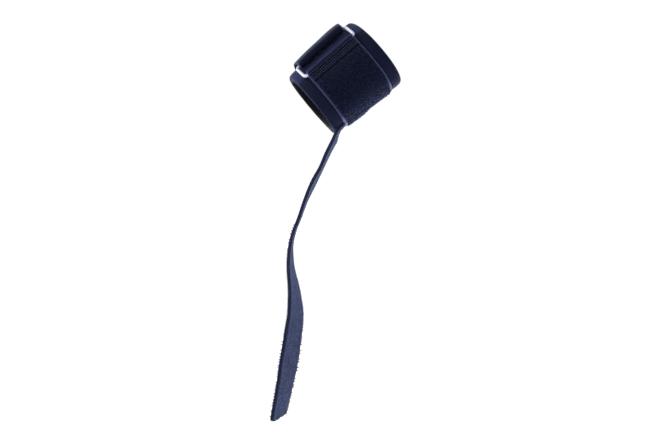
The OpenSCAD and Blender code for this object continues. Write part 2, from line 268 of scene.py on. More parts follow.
# ---- Meshes ----
def flat_loop(w, h0, h1, step, under, r):
    """A strip's cross section as a closed loop of (v, h), round at both edges. The points stand
    step apart on top and under apart below."""
    half = (h1 - h0) / 2
    r = min(r, half)
    top_n = max(2, int(round(2 * (w - r) / step)))
    low_n = max(2, int(round(2 * (w - r) / under)))
    corner = np.radians(np.linspace(0, 90, 4)[1:-1])
    pts = []
    pts += [(v, h1) for v in np.linspace(w - r, -w + r, top_n + 1)]
    pts += [(-w + r - r * math.sin(c), h1 - r + r * math.cos(c)) for c in corner]
    pts += [(-w, h1 - r)] + ([(-w, h0 + r)] if half - r > 1e-6 else [])
    pts += [(-w + r - r * math.cos(c), h0 + r - r * math.sin(c)) for c in corner]
    pts += [(v, h0) for v in np.linspace(-w + r, w - r, low_n + 1)]
    pts += [(w - r + r * math.sin(c), h0 + r - r * math.cos(c)) for c in corner]
    pts += [(w, h0 + r)] + ([(w, h1 - r)] if half - r > 1e-6 else [])
    pts += [(w - r + r * math.cos(c), h1 - r + r * math.sin(c)) for c in corner]
    return np.array(pts, float)


def mesh_of(name, verts, faces, material, cloth):
    me = bpy.data.meshes.new(name)
    me.from_pydata((np.asarray(verts) * MM).tolist(), [], [list(map(int, f)) for f in faces])
    me.validate()
    me.polygons.foreach_set("use_smooth", np.ones(len(me.polygons), bool))
    at = me.attributes.new("cloth", "FLOAT_VECTOR", "POINT")
    at.data.foreach_set("vector", np.asarray(cloth, np.float32).ravel())
    o = bpy.data.objects.new(name, me)
    bpy.context.scene.collection.objects.link(o)
    me.materials.append(material)
    outward(o)
    return o


def sweep(name, path, loop, material, lift=None, slide=None, ends=0.0):
    """A strip: the loop (v, h) carried along the path. lift and slide add to h and to v, and
    ends rounds both ends over that length."""
    n, m = len(path.s), len(loop)
    i = np.repeat(np.arange(n), m)
    v, h = np.tile(loop[:, 0], n), np.tile(loop[:, 1], n)
    s = path.s[i]
    cloth = np.stack([s, v, h], -1)
    mid = (loop[:, 1].max() + loop[:, 1].min()) / 2
    v1 = v + (slide(s, v, h, i) if slide else 0)
    h1 = h + (lift(s, v, h, i) if lift else 0)
    if ends:
        t = np.clip(np.minimum(s, path.length - s) / ends, 0, 1)
        f = np.sqrt(np.clip(1 - (1 - t) ** 2, 0.0025, 1))
        h1 = mid + (h1 - mid) * f
    p = path.place(i, v1, h1)
    q = np.arange(n * m).reshape(n, m)
    a, b = q[:-1], q[1:]
    c, d = np.roll(b, -1, 1), np.roll(a, -1, 1)
    faces = np.stack([a, b, c, d], -1).reshape(-1, 4).tolist()
    faces += [q[0].tolist(), q[-1][::-1].tolist()]
    return mesh_of(name, p, faces, material, cloth)


def outward(o):
    """Turns a closed mesh inside out if its volume is negative."""
    me = o.data
    me.calc_loop_triangles()
    co = np.zeros(len(me.vertices) * 3, np.float32)
    me.vertices.foreach_get("co", co)
    tri = np.zeros(len(me.loop_triangles) * 3, np.int32)
    me.loop_triangles.foreach_get("vertices", tri)
    t = co.reshape(-1, 3)[tri].reshape(-1, 3, 3).astype(float)
    if np.einsum("ij,ij->i", t[:, 0], np.cross(t[:, 1], t[:, 2])).sum() < 0:
        me.flip_normals()


def threads(name, runs, material, r=0.24, arch=0.16, sides=6, parts=4):
    """Stitches: each run is (start, end, out) in mm; a short thread that dips in at both ends."""
    verts, faces, cloth = [], [], []
    ring = np.radians(np.arange(sides) * 360 / sides)
    for k, (p0, p1, out) in enumerate(runs):
        p0, p1, out = (np.asarray(x, float) for x in (p0, p1, out))
        along = p1 - p0
        length = np.linalg.norm(along)
        along = along / length
        side = np.cross(along, out)
        side /= np.linalg.norm(side)
        out = np.cross(side, along)
        base = len(verts)
        for j in range(parts + 1):
            t = j / parts
            bow = math.sin(math.pi * t)
            c = p0 + along * length * t + out * (arch * (bow * 2 - 1))
            f = r * (0.55 + 0.45 * bow)
            for w in ring:
                verts.append(c + side * (f * math.cos(w)) + out * (f * math.sin(w)))
                cloth.append((length * t + 3.1 * k, math.degrees(w) / 40, k % 7))
        for j in range(parts):
            for x in range(sides):
                a, b = base + j * sides + x, base + j * sides + (x + 1) % sides
                faces.append((a, b, b + sides, a + sides))
        faces.append([base + x for x in range(sides)][::-1])
        faces.append([base + parts * sides + x for x in range(sides)])
    return mesh_of(name, verts, faces, material, cloth)


# ---- Materials ----
class Cloth:
    """Node material helper. Places come from the mesh's own cloth attribute, in millimetres."""

    def __init__(self, name, rough, specular=0.15, sheen=0.0, sheen_rough=0.4, sheen_tint=(1, 1, 1)):
        self.m = bpy.data.materials.new(name)
        self.m.use_nodes = True
        self.t = self.m.node_tree
        self.b = self.t.nodes["Principled BSDF"]
        for socket, value in (
            ("Roughness", rough), ("Specular IOR Level", specular), ("Sheen Weight", sheen),
            ("Sheen Roughness", sheen_rough), ("Sheen Tint", (*sheen_tint, 1)),
        ):
            self.b.inputs[socket].default_value = value
        at = self.add("ShaderNodeAttribute")
        at.attribute_name = "cloth"
        self.place = at.outputs["Vector"]
        xyz = self.add("ShaderNodeSeparateXYZ")
        self.link(self.place, xyz.inputs[0])
        self.s, self.v, self.h = xyz.outputs
        self.chain = None

    def add(self, kind, **given):
        n = self.t.nodes.new(kind)
        for k, x in given.items():
            setattr(n, k, x)
        return n

    def link(self, a, b):
        self.t.links.new(a, b)

    def feed(self, socket, x):
        """Links another node's output, or sets a number or a colour."""
        if hasattr(x, "is_linked"):
            self.link(x, socket)
        elif x is not None:
            socket.default_value = (*x, 1) if hasattr(x, "__len__") else x

    def math(self, op, a, b=None, c=None, clamp=False):
        n = self.add("ShaderNodeMath", operation=op, use_clamp=clamp)
        for socket, x in zip(n.inputs, (a, b, c)):
            self.feed(socket, x)
        return n.outputs[0]

    def wave(self, place, period, offset=0.0):
        """A sine of that period, from 0 to 1."""
        x = self.math("MULTIPLY_ADD", place, 2 * math.pi / period, offset)
        return self.math("MULTIPLY_ADD", self.math("SINE", x), 0.5, 0.5)

    def noise(self, size, detail=2, rough=0.5, stretch=(1, 1, 1)):
        mapping = self.add("ShaderNodeMapping")
        self.link(self.place, mapping.inputs["Vector"])
        mapping.inputs["Scale"].default_value = stretch
        n = self.add("ShaderNodeTexNoise")
        self.link(mapping.outputs[0], n.inputs["Vector"])
        n.inputs["Scale"].default_value = 1 / size
        n.inputs["Detail"].default_value = detail
        n.inputs["Roughness"].default_value = rough
        return n.outputs[0]

    def cells(self, size, output="Distance"):
        n = self.add("ShaderNodeTexVoronoi")
        self.link(self.place, n.inputs["Vector"])
        n.inputs["Scale"].default_value = 1 / size
        return n.outputs[output]

    def bump(self, height, distance):
        n = self.add("ShaderNodeBump")
        n.inputs["Strength"].default_value = 1.0
        n.inputs["Distance"].default_value = distance * MM
        self.link(height, n.inputs["Height"])
        if self.chain is not None:
            self.link(self.chain, n.inputs["Normal"])
        self.chain = n.outputs[0]
        self.link(self.chain, self.b.inputs["Normal"])

    def ramp(self, fac, stops):
        n = self.add("ShaderNodeValToRGB")
        e = n.color_ramp.elements
        while len(e) < len(stops):
            e.new(0.5)
        for x, (at, colour) in zip(e, stops):
            x.position, x.color = at, (*colour, 1)
        self.link(fac, n.inputs[0])
        return n.outputs[0]

    def between(self, place, start, end, soft):
        """1 between two places, 0 outside, over a soft step."""
        up = self.math("MULTIPLY", self.math("SUBTRACT", place, start), 1 / soft, clamp=True)
        down = self.math("MULTIPLY", self.math("SUBTRACT", end, place), 1 / soft, clamp=True)
        return self.math("MULTIPLY", up, down)

    def mix(self, fac, a, b, kind="MIX"):
        n = self.add("ShaderNodeMix", data_type="RGBA", blend_type=kind)
        for socket, x in ((n.inputs[0], fac), (n.inputs[6], a), (n.inputs[7], b)):
            self.feed(socket, x)
        return n.outputs[2]

    def colour(self, out):
        self.link(out, self.b.inputs["Base Color"])

    def roughness(self, fac, low, high):
        x = self.math("MULTIPLY_ADD", fac, high - low, low)
        self.link(x, self.b.inputs["Roughness"])


def scaled(c, k):
    return tuple(x * k for x in c)


def shades(c, *stops):
    """Ramp stops of one colour, each given as its place and its factor."""
    return [(at, scaled(c, k)) for at, k in stops]


JERSEY = (0.0068, 0.0086, 0.0250)
PILE = (0.0034, 0.0054, 0.0165)
GROUND = (0.0085, 0.0115, 0.0330)
WEBBING = (0.0170, 0.0215, 0.0560)
FLEECE = (0.0340, 0.0435, 0.1030)
THREAD = (0.0420, 0.0520, 0.1200)
BLACK = (0.0060, 0.0062, 0.0085)


def make_jersey(lit_from, lit_to):
    """Brushed knit, paler from one place to another along the band: painted light on the stretch seen through
    the ring's window.
    """
    c = Cloth("jersey", 0.75, 0.05, 0.45, 0.28, (0.42, 0.52, 1.0))
    rib = c.wave(c.v, 0.55)
    stitch = c.wave(c.s, 0.62, 0.3)
    knit = c.math("MULTIPLY", rib, c.math("MULTIPLY_ADD", stitch, 0.5, 0.5))
    blotch = c.noise(9, 3, 0.6)
    fine = c.noise(0.5, 2, 0.6)
    tone = c.ramp(blotch, shades(JERSEY, (0.25, 0.8), (0.75, 1.25)))
    # Painted light: the stretch of band seen through the ring's window is made paler, as if lit there
    tone = c.mix(c.between(c.s, lit_from, lit_to, 3), tone, scaled(JERSEY, 3.2))
    c.colour(c.mix(c.math("MULTIPLY", knit, 0.35), tone, scaled(JERSEY, 1.7)))
    c.bump(knit, 0.10)
    c.bump(fine, 0.10)
    c.roughness(blotch, 0.62, 0.82)
    return c.m


def make_lining():
    c = Cloth("lining", 0.8, 0.12, 0.15, 0.4, (0.7, 0.75, 1.0))
    rib = c.wave(c.v, 0.8)
    stitch = c.wave(c.s, 0.7)
    knit = c.math("MULTIPLY", rib, stitch)
    c.colour(c.ramp(knit, shades(BLACK, (0.0, 0.8), (1.0, 2.2))))
    c.bump(knit, 0.16)
    c.bump(c.noise(0.6), 0.08)
    return c.m


def make_foam():
    c = Cloth("foam", 0.85, 0.1)
    cells = c.cells(0.45)
    c.colour(c.ramp(cells, [(0.1, scaled(BLACK, 0.6)), (0.7, scaled(JERSEY, 1.2))]))
    c.bump(cells, 0.2)
    return c.m


def make_pile(name, base, sheen, size=0.9):
    c = Cloth(name, 0.88, 0.04, sheen, 0.42, (0.42, 0.52, 1.0))
    loops = c.cells(size)
    tufts = c.noise(size * 1.6, 3, 0.65)
    patches = c.noise(6)
    tone = c.ramp(tufts, shades(base, (0.36, 0.3), (0.5, 1), (0.66, 2.4)))
    c.colour(c.mix(c.math("MULTIPLY", patches, 0.45), tone, scaled(base, 1.5)))
    c.bump(loops, 0.5)
    c.bump(tufts, 0.5)
    c.roughness(tufts, 0.95, 0.75)
    return c.m


def make_ground(name, base, sheen, rib=0.55, weft=0.45, rim=23.5, stretches=(), worn_and_lit=None):
    """Woven tape with a pale cord along both edges; each stretch (from, to, tone, soft) of its length
    has its colour scaled by the tone: painted shade in a crease, a painted highlight on a fold, or a
    darker sewn stretch. From one place to another the cord is widened and paled, partly wear and
    partly a painted highlight."""
    c = Cloth(name, 0.62, 0.06, sheen, 0.28, (0.42, 0.52, 1.0))
    warp = c.wave(c.v, rib)
    pick = c.math("MULTIPLY", c.wave(c.s, weft), c.wave(c.v, rib, math.pi))
    weave = c.math("MAXIMUM", c.math("MULTIPLY", warp, 0.9), pick)
    drift = c.noise(4, 3, 0.6, (0.3, 1, 1))
    tone = c.ramp(drift, shades(base, (0.3, 0.8), (0.7, 1.2)))
    # Painted highlight, partly wear: over this span the cord is widened and paled
    wear_and_highlight = c.between(c.s, *worn_and_lit, 16) if worn_and_lit else 0.0
    inner = c.math("MULTIPLY_ADD", wear_and_highlight, -1.0, rim)
    cord = c.math("MULTIPLY", c.math("SUBTRACT", c.math("ABSOLUTE", c.v), inner), 2.5, clamp=True)
    # Each stretch scales the tone: painted shade in a crease, a painted highlight on a fold, or a darker sewn
    # stretch
    for start, end, k, soft in stretches:
        tone = c.mix(c.between(c.s, start, end, soft), tone, scaled(base, k))
    pale = tuple(x * 5 + 0.012 for x in base)
    if worn_and_lit:
        pale = c.mix(wear_and_highlight, pale, (0.34, 0.37, 0.62))
    tone = c.mix(cord, tone, pale)
    c.colour(c.mix(weave, c.mix(1.0, tone, (0.45, 0.45, 0.5), "MULTIPLY"), tone))
    c.bump(weave, 0.16)
    c.bump(c.noise(0.35, 2, 0.6), 0.05)
    c.roughness(drift, 0.5, 0.68)
    return c.m


def make_thread(name, base):
    c = Cloth(name, 0.5, 0.3, 0.3, 0.3, (0.8, 0.85, 1.0))
    twist = c.wave(c.math("ADD", c.s, c.math("MULTIPLY", c.v, 0.11)), 0.45)
    c.colour(c.ramp(twist, shades(base, (0.0, 0.55), (1.0, 1.2))))
    c.bump(twist, 0.12)
    return c.m


def make_hook(name):
    c = Cloth(name, 0.38, 0.4)
    grain = c.noise(0.5)
    c.colour(c.ramp(grain, shades(BLACK, (0.3, 0.8), (0.7, 1.8))))
    c.bump(c.math("MULTIPLY", c.wave(c.s, 1.2), c.wave(c.v, 1.2)), 0.15)
    c.roughness(grain, 0.32, 0.5)
    return c.m


def make_wire():
    c = Cloth("wire_coat", 0.32, 0.5)
    c.b.inputs["Coat Weight"].default_value = 0.4
    c.b.inputs["Coat Roughness"].default_value = 0.18
    mottle = c.noise(3.0, 3, 0.6)
    specks = c.noise(0.7)
    tone = c.ramp(mottle, [(0.3, (0.60, 0.62, 0.76)), (0.7, (0.72, 0.73, 0.86))])
    c.colour(c.mix(c.math("MULTIPLY", specks, 0.25), tone, (0.5, 0.52, 0.66)))
    c.bump(mottle, 0.06)
    c.bump(specks, 0.02)
    c.roughness(mottle, 0.26, 0.42)
    return c.m


def make_fleece():
    """Brushed pile on the strap's face, with a bare dark margin along both edges."""
    c = Cloth("strap_pile", 0.88, 0.05, 0.3, 0.4, (0.55, 0.66, 1.0))
    tufts = c.noise(1.6, 3, 0.85)
    patches = c.noise(4.5)
    side = c.math("ABSOLUTE", c.v)
    tone = c.ramp(tufts, shades(FLEECE, (0.40, 0.45), (0.5, 0.95), (0.60, 1.6)))
    grain = c.ramp(c.cells(1.1, "Color"), shades(FLEECE, (0.25, 0.35), (0.5, 0.9), (0.78, 2.3)))
    tone = c.mix(0.55, tone, grain)
    tone = c.mix(c.math("MULTIPLY", patches, 0.4), tone, scaled(FLEECE, 0.75))
    off_ridge = c.math("ABSOLUTE", c.math("SUBTRACT", side, 9.7))
    ridge = c.math("SUBTRACT", 1.0, c.math("MULTIPLY", off_ridge, 1.2), clamp=True)
    tone = c.mix(c.math("MULTIPLY", ridge, 0.35), tone, scaled(FLEECE, 1.7))
    margin = c.math("MULTIPLY", c.math("SUBTRACT", side, 10.5), 2.0, clamp=True)
    low = c.math("MULTIPLY_ADD", c.h, -2.5, 1.6, clamp=True)
    tone = c.mix(c.math("MAXIMUM", margin, low), tone, WEBBING)
    c.colour(tone)
    c.bump(c.cells(0.7), 0.45)
    c.bump(tufts, 0.45)
    return c.m


M = {
    "lining": make_lining(),
    "foam": make_foam(),
    "pile": make_pile("loop_pile", PILE, 0.4),
    "ground": make_ground("tape_ground", GROUND, 0.25),
    "webbing": make_ground("webbing", WEBBING, 0.2, 0.7, 0.6),
    "fleece": make_fleece(),
    "edge": make_thread("strap_edge", scaled(WEBBING, 1.3)),
    "thread": make_thread("thread", THREAD),
    "fold_thread": make_thread("fold_thread", scaled(THREAD, 1.9)),
    "hook": make_hook("hook_tape"),
    "wire": make_wire(),
}

# ---- Support band ----
GAP_AT, GAP = 292, 9
BAND_A = (GAP_AT + GAP / 2 - 360, GAP_AT - GAP / 2)
SEAM_A0, SEAM_A1 = back_angle(NEAR_Y - 4.2), back_angle(NEAR_Y - 10.5 + LEG_R + TAPE_T)
PANEL_END, STRAP_START, FLAP_END = 236, 251, 263


def round_the_wrist(a0, a1, h, step):
    a = np.linspace(a0, a1, int(abs(a1 - a0) * 4) + 2)
    return Path(oval(a, np.full(len(a), float(h))), step, out=1)


def under_tape(a):
    """1 where the panel or the closing strap lies on the band, 0 in the window and the gaps."""
    panel = smooth((a - 8) / 6) * smooth((PANEL_END + 2 - a) / 4)
    strap = smooth((a - STRAP_START + 3) / 4) + smooth((-8 - a) / 6)
    return np.clip(panel + strap, 0, 1)


ROOT_A = 134


def root_bump(a, v):
    """The panel's rise over the hanging strap's root."""
    across = smooth((17 - np.abs(a - ROOT_A)) / 12 + 0.35)
    return across * smooth((3 - v) / 10) * smooth((v + 31) / 4)


def band_shape(a, s, v):
    """How far the band's outside stands off its CAD height."""
    edge = np.abs(v) - TAPE_X
    margin = np.clip(edge / (BAND_X - TAPE_X), 0, 1)
    puff = 0.75 * np.sin(np.pi * np.clip(margin * 0.9 + 0.1, 0, 1)) ** 0.8 * (margin > 0)
    pinch = -0.35 * bell(edge + 0.6, 1.2) * under_tape(a)
    pucker = 0.10 * waves(s, 6.4) * bell(edge - 1.8, 1.6) * under_tape(a)
    soft = 0.28 * ripple(s / 42, v / 30, 3, 2)
    flare = 4.0 * smooth((-v - 25) / 10) * bell(a - 158, 16)
    return puff + pinch + pucker + flare + soft * (0.4 + 0.6 * margin)


band = round_the_wrist(*BAND_A, 0, 0.8)
window = band.s[(band.a > back_angle(FAR_Y)) & (band.a < back_angle(NEAR_Y))]
M["jersey"] = make_jersey(float(window[0]), float(window[-1]))


def laminate_loop(h_out, h_in, r, flip, step, under):
    """One skin of the band, which turns in towards the foam at both edges."""
    t = h_out - h_in
    w = BAND_X
    c = np.radians(np.linspace(0, 90, 6))
    sign = -1 if flip else 1
    ho, hi = (h_out, h_in) if not flip else (h_in, h_out)
    outer = [(v, ho) for v in np.linspace(w - r, -w + r, int(2 * (w - r) / step))]
    outer += [(-w + r - r * math.sin(x), ho - sign * (r - r * math.cos(x))) for x in c[1:]]
    ri = r - t
    inner = [(-w + r - ri * math.sin(x), ho - sign * (r - ri * math.cos(x))) for x in c[::-1]]
    inner += [(v, hi) for v in np.linspace(-w + r, w - r, int(2 * (w - r) / under))[1:-1]]
    inner += [(w - r + ri * math.sin(x), ho - sign * (r - ri * math.cos(x))) for x in c]
    outer += inner
    outer += [(w - r + r * math.sin(x), ho - sign * (r - r * math.cos(x))) for x in c[::-1]][:-1]
    return np.array(outer)


def band_lift(s, v, h, i):
    return band_shape(band.a[i], s, v) * np.clip(h / BAND_T, 0, 1)


jersey = sweep("band_jersey", band, laminate_loop(4.0, 3.3, 1.7, False, 0.8, 1.6), M["jersey"], band_lift)
lining = sweep("band_lining", band, laminate_loop(0.7, 0.0, 1.5, True, 1.2, 2.0), M["lining"], band_lift)
foam = sweep("band_foam", band, flat_loop(BAND_X - 0.75, 0.75, 3.22, 1.5, 2.4, 0.5), M["foam"], band_lift)
for o, n, length in ((jersey, "outer_jersey", 0.206), (lining, "inner_lining", 0.180)):
    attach(o, "cuff")
    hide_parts(n)
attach(foam, "cuff")
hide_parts("foam_core")

# ---- Panel: loop tape folded round the ring's near leg ----
def leg_arc(y, z, r, a0, a1):
    """Points round a ring leg at (y, z) in the back's frame; angles from +Y towards +Z."""
    a = np.radians(np.linspace(a0, a1, 40))
    return np.stack([HALF_T + z + r * np.sin(a), -(y + r * np.cos(a))], -1)


def oval_run(a0, a1, h0, h1=None):
    a = np.linspace(a0, a1, max(3, int(abs(a1 - a0) * 3)))
    return oval(a, np.linspace(h0, h0 if h1 is None else h1, len(a)))


TAPE_H = TAPE_T / 2
FOLD_R = LEG_R + 0.15 + TAPE_H
MID = BAND_T + TAPE_H
lower = oval_run(SEAM_A1 + 0.4, back_angle(NEAR_Y - 1.0), MID + 0.02)
around = leg_arc(NEAR_Y, NEAR_Z, FOLD_R, -100, 118)
upper = oval_run(SEAM_A0 - 1.2, SEAM_A1, MID + TAPE_T + 0.35, MID + TAPE_T + 0.1)
main = oval_run(SEAM_A1 + 2.0, PANEL_END, MID)
route_points = smoothed(np.concatenate([lower[:-2], around, upper, main]), 2)
panel = Path(route_points, 0.55, out=-1)
face_out(panel, -20)
crest = float(panel.s[int(np.argmax(np.where(panel.a < 30, panel.p[:, 0], -99)))])
ROWS = [crest + d for d in (2.9, 4.9, 6.9, 8.9)]
step_at = float(panel.s[np.nonzero((panel.s > crest + 4) & (panel.a > SEAM_A1 + 1.5))[0][0]])
PILE_FROM = step_at + 0.4


def panel_lift(s, v, h, i):
    groove = sum(bell(s - r, 0.42) for r in ROWS)
    over = smooth((s - crest + 1) / 2)
    out = -0.42 * groove * over * (h > -0.2)
    rest = smooth((s - step_at) / 6)
    out += rest * (0.16 * ripple(s / 30, v / 40, 5, 2) + 1.0 * root_bump(panel.a[i], v))
    edge = np.clip((np.abs(v) - 21.5) / 3.5, 0, 1)
    out += rest * edge * (0.10 * waves(s, 3.1) + 0.15 * ripple(s / 9, v * 0, 11, 2))
    out += rest * np.clip(band_shape(panel.a[i], s, v), -0.2, 0.4)
    return out


# The fold gets a painted highlight, the sewn stretch is made darker, and the cord is paled from the
# thumb side to the palm side, partly wear and partly a painted highlight
fold_highlight_and_sewn_tone = [(crest - 2.0, crest + 2.0, 1.7, 1.0), (crest + 2.4, step_at + 0.5, 0.62, 0.6)]
worn_and_lit = [float(panel.s[np.abs(panel.a - a).argmin()]) for a in (84, 175)]
M["panel"] = make_ground("panel_ground", GROUND, 0.3, stretches=fold_highlight_and_sewn_tone, worn_and_lit=worn_and_lit)


def narrow_at_ring(s, v, h, i):
    near = 1 - smooth((s - crest - 1.5) / 2.5)
    back = smooth((s - (crest - 9)) / 3)
    w = 24.4 / TAPE_X
    return v * (w - 1) * near * back + 0.10 * np.sign(v) * (np.abs(v) > 24) * ripple(s / 5, s * 0, 21, 2)


tape_loop = flat_loop(TAPE_X, -TAPE_H, TAPE_H, 0.6, 1.6, 0.45)
tape = sweep("panel_ground", panel, tape_loop, M["panel"], panel_lift, narrow_at_ring, ends=0.5)
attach(tape, "cuff")
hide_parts("panel_tape")


class Part:
    """A stretch of a path, moved out by h."""

    def __init__(self, path, s0, s1, step, h):
        self.s = np.linspace(s0, s1, int((s1 - s0) / step) + 1)
        self.off = s0
        f = np.interp(self.s, path.s, np.arange(len(path.s)))
        for k in ("p", "n", "r"):
            x = getattr(path, k)
            setattr(self, k, np.stack([np.interp(f, np.arange(len(x)), x[:, j]) for j in (0, 1)], -1))
        self.n = unit(self.n)
        self.p = self.p + self.n * h
        self.a = np.interp(f, np.arange(len(path.a)), path.a)
        self.s = self.s - s0
        self.length = float(self.s[-1])

    place = Path.place


def pile_field(size, depth, seed):
    def field(s, v):
        lumps = ripple(s / (size * 2.2), v / (size * 2.2), seed, 3)
        fine = ripple(s / size, v / size, seed + 1, 2)
        return depth * (0.5 * lumps + 0.5 * fine)
    return field


# A pile's base lies SUNK deep in its ground
FIELD_X, SUNK = 23.2, -0.15
panel_field = pile_field(1.5, 0.30, 31)
pile_path = Part(panel, PILE_FROM, panel.length - 3.2, 0.5, TAPE_H)


def pile_lift(s, v, h, i):
    on_panel = s + pile_path.off
    base = panel_lift(on_panel, v, np.full_like(h, -1), nearest(panel, on_panel))
    top = np.clip(h / PILE_T, 0, 1)
    return base + top * panel_field(s, v) * (1 + 1.3 * smooth((pile_path.a[i] - 85) / 25))


def pile_edge(s, v, h, i):
    ragged = 0.35 * np.sign(v) * (np.abs(v) > FIELD_X - 0.6) * ripple(s / 2.2, v * 0, 41, 3)
    return ragged - 0.035 * v * smooth((pile_path.a[i] - 80) / 30)


pile_loop = flat_loop(FIELD_X, SUNK, PILE_T, 0.5, 2.2, 0.5)
pile = sweep("panel_pile_field", pile_path, pile_loop, M["pile"], pile_lift, pile_edge, ends=0.8)
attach(pile, "cuff")
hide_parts("panel_pile")


def along_row(path, s, v, h, lift):
    """World points on a path at lengths s, widths v and height h, and those 1 mm further out."""
    s, v = np.atleast_1d(np.asarray(s, float)), np.atleast_1d(np.asarray(v, float))
    s, v = np.broadcast_arrays(s, v)
    i = np.clip(np.round(np.interp(s, path.s, np.arange(len(path.s)))).astype(int), 0, len(path.s) - 1)
    h = np.full(len(s), float(h))
    h = h + lift(s, v, h, i)
    return path.place(i, v, h), path.place(i, v, h + 1.0)


def row_across(path, s, half, h, lift, pitch=2.4, length=1.7):
    n = int(half / pitch)
    k = np.arange(-n, n + 1) * pitch
    a, a1 = along_row(path, s, k - length / 2, h, lift)
    b, _ = along_row(path, s, k + length / 2, h, lift)
    return [(p, q, u - p) for p, q, u in zip(a, b, a1)]


def row_along(path, s0, s1, v, h, lift, pitch=2.4, length=1.7):
    k = np.arange(s0, s1, pitch)
    a, a1 = along_row(path, k, v, h, lift)
    b, _ = along_row(path, k + length, v, h, lift)
    return [(p, q, u - p) for p, q, u in zip(a, b, a1)]


rows = []
for r in ROWS:
    rows += row_across(panel, r, TAPE_X - 1.6, 0.70, panel_lift, 1.9, 1.1)
fold_thread = threads("ring_fold_thread", rows, M["fold_thread"], 0.25, 0.18)
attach(fold_thread, "cuff")
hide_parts("ring_fold_stitches")
rows = []
for side in (-1, 1):
    v = side * (TAPE_X - 0.8)
    rows += row_along(panel, step_at + 3, panel.length - 4, v, 0.66, panel_lift, 2.4, 2.25)
rows += row_across(panel, panel.length - 1.6, TAPE_X - 2, 0.68, panel_lift)
side_thread = threads("panel_side_thread", rows, M["fold_thread"])
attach(side_thread, "cuff")
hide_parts("panel_side_stitches")

# ---- Wire ring ----
def ring_line():
    """The wire's centreline as (x, y) in the ring's plane, y counted from its near leg."""
    pts = []
    for cx, cy, a0 in ((1, 1, 0), (-1, 1, 90), (-1, -1, 180), (1, -1, 270)):
        centre = (cx * (LEG_X - RING_CORNER), RING_W / 2 + cy * (RING_W / 2 - RING_CORNER))
        pts.append(centre + RING_CORNER * toward(np.linspace(a0, a0 + 90, 10)))
    pts = np.concatenate(pts)
    out = []
    for k in range(len(pts)):
        a, b = pts[k], pts[(k + 1) % len(pts)]
        n = max(1, int(np.linalg.norm(b - a) / 1.2))
        out += [a + (b - a) * j / n for j in range(n)]
    return np.array(out)


line = ring_line()
tangent = unit(np.roll(line, -1, 0) - np.roll(line, 1, 0))
normal = np.stack([tangent[:, 1], -tangent[:, 0]], -1)
run = run_of(line)
SIDES = 24
verts, cloth = [], []
for k in range(len(line)):
    for j in range(SIDES):
        w = 2 * math.pi * j / SIDES
        flat = line[k] + normal[k] * WIRE_R * math.cos(w)
        verts.append((flat[0], flat[1], WIRE_R * math.sin(w)))
        cloth.append((run[k], 3 * math.cos(w), 3 * math.sin(w)))
verts = turn(np.array(verts), "X", RING_RISE) + np.array([0, NEAR_Y, NEAR_Z])
q = np.arange(len(line) * SIDES).reshape(len(line), SIDES)
ahead = np.roll(q, -1, 0)
faces = np.stack([q, np.roll(q, -1, 1), np.roll(ahead, -1, 1), ahead], -1).reshape(-1, 4)
ring = mesh_of("ring_wire", from_back(verts), faces, M["wire"], cloth)
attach(ring, "ring")
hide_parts("wire_ring")

# ---- Closing strap ----
AXIS_FAR = (FAR_Y, FAR_Z)
BIGHT_R = 2.55
RING_FREE = LEG_X - RING_CORNER
lower_run = oval_run(STRAP_START, 360 + back_angle(FAR_Y + 3.0), MID)
bottom = leg_arc(*AXIS_FAR, BIGHT_R, -60, -135)
lower_strap = Path(smoothed(np.concatenate([lower_run, bottom]), 2), 0.6, out=1)
face_out(lower_strap, 5)


def strap_lift(s, v, h, i):
    sewn = smooth((s - 10) / 5)
    return sewn * 0.15 * ripple(s / 24, v / 30, 51, 2) + 0.08 * (np.abs(v) > 21.5) * waves(s, 3.0)


def narrow_to_ring(s, v, h, i):
    return v * ((RING_FREE - 0.5) / TAPE_X - 1) * smooth((s - lower_strap.length + 9) / 5)


low_loop = flat_loop(TAPE_X - 0.2, -TAPE_H, TAPE_H, 0.8, 1.6, 0.45)
low = sweep("closing_strap_ground", lower_strap, low_loop, M["ground"], strap_lift, narrow_to_ring, ends=0.5)
low_pile_path = Part(lower_strap, 11, lower_strap.length - 6.5, 0.6, TAPE_H)


def low_pile_lift(s, v, h, i):
    top = np.clip(h / PILE_T, 0, 1)
    return strap_lift(s + low_pile_path.off, v, h, i) + top * panel_field(s + 60, v)


low_pile_loop = flat_loop(PILE_X, SUNK, PILE_T, 0.6, 2.4, 0.5)
low_pile = sweep("closing_strap_loops", low_pile_path, low_pile_loop, M["pile"], low_pile_lift, ends=0.8)
blend_lower = (from_back((0, FAR_Y + 15, 0)) * MM, from_back((0, FAR_Y + 1.0, 0)) * MM)
for o, n, w, p in (
    (low, "closing_strap", 0.05, lower_strap),
    (low_pile, "closing_strap_pile", 0.044, low_pile_path),
):
    tuple(blend_lower[0])
    tuple(blend_lower[1])
    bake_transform(o)
    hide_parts(n)
rows = []
for r in (1.6, 8.6):
    rows += row_across(lower_strap, r, TAPE_X - 2.4, 0.68, strap_lift)
for side in (-1, 1):
    rows += row_along(lower_strap, 2.6, 8.0, side * (TAPE_X - 2.4), 0.68, strap_lift)
anchor = threads("strap_anchor_thread", rows, M["thread"])
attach(anchor, "cuff")
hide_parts("strap_anchor_stitches")

